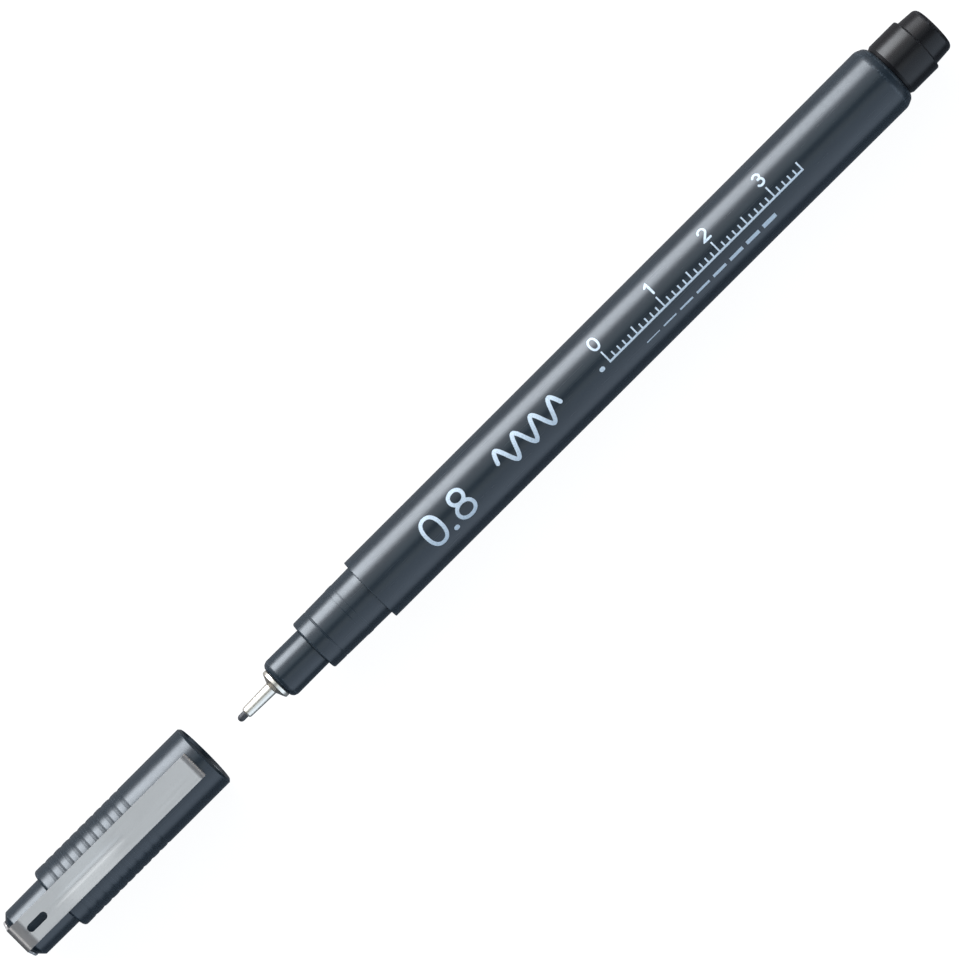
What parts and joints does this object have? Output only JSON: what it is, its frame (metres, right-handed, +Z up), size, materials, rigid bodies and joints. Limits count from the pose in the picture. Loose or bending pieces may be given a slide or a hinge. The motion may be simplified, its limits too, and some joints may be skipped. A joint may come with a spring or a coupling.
{
  "type": "technical pen",
  "caption": "Slim technical pen with a plastic point in a steel sleeve, a stepped neck, a tail plug, and a drawn-off cap with a steel pocket clip.",
  "frame": {"origin": "under the middle of the pen and its drawn-off cap, on the surface that they lie on", "axes": "+X along the axis from the cap's closed end to the tail, the nib pointing to -X; +Z up through the clip; +Y across"},
  "size_m": [0.1678, 0.01, 0.0109],
  "materials": {
    "barrel_plastic": "satin moulded, slate grey",
    "print_ink": "screen-printed marks on the barrel, pale grey-blue",
    "plug_plastic": "gloss moulded, black",
    "sleeve_steel": "polished",
    "nib_plastic": "ink-stained matte",
    "reservoir_fibre": "ink-soaked fibre",
    "reservoir_film": "clear film",
    "cap_plastic": "satin moulded, slate grey",
    "liner_plastic": "soft moulded, dark grey",
    "clip_steel": "satin"
  },
  "bodies": {
    "pen": {"barrel": "barrel_plastic", "tail_plug": "plug_plastic", "nib_holder": "barrel_plastic", "nib_sleeve": "sleeve_steel", "nib": "nib_plastic", "ink_reservoir": "reservoir_fibre", "reservoir_wrap": "reservoir_film"},
    "cap": {"cap_shell": "cap_plastic", "inner_cap": "liner_plastic", "clip_foot": "clip_steel"},
    "clip": {"clip": "clip_steel"}
  },
  "joints": [
    {"name": "cap_slide", "type": "slide", "parent": "pen", "child": "cap", "axis": [1, 0, 0], "range_m": [0, 0.0302]},
    {"name": "clip_flex", "type": "hinge", "parent": "cap", "child": "clip", "pos_m": [-0.0835, 0, 0.00825], "axis": [0, -1, 0], "range_deg": [0, 4.5], "stiffness_Nm_per_rad": 1.2, "springref_deg": -1.15}
  ]
}
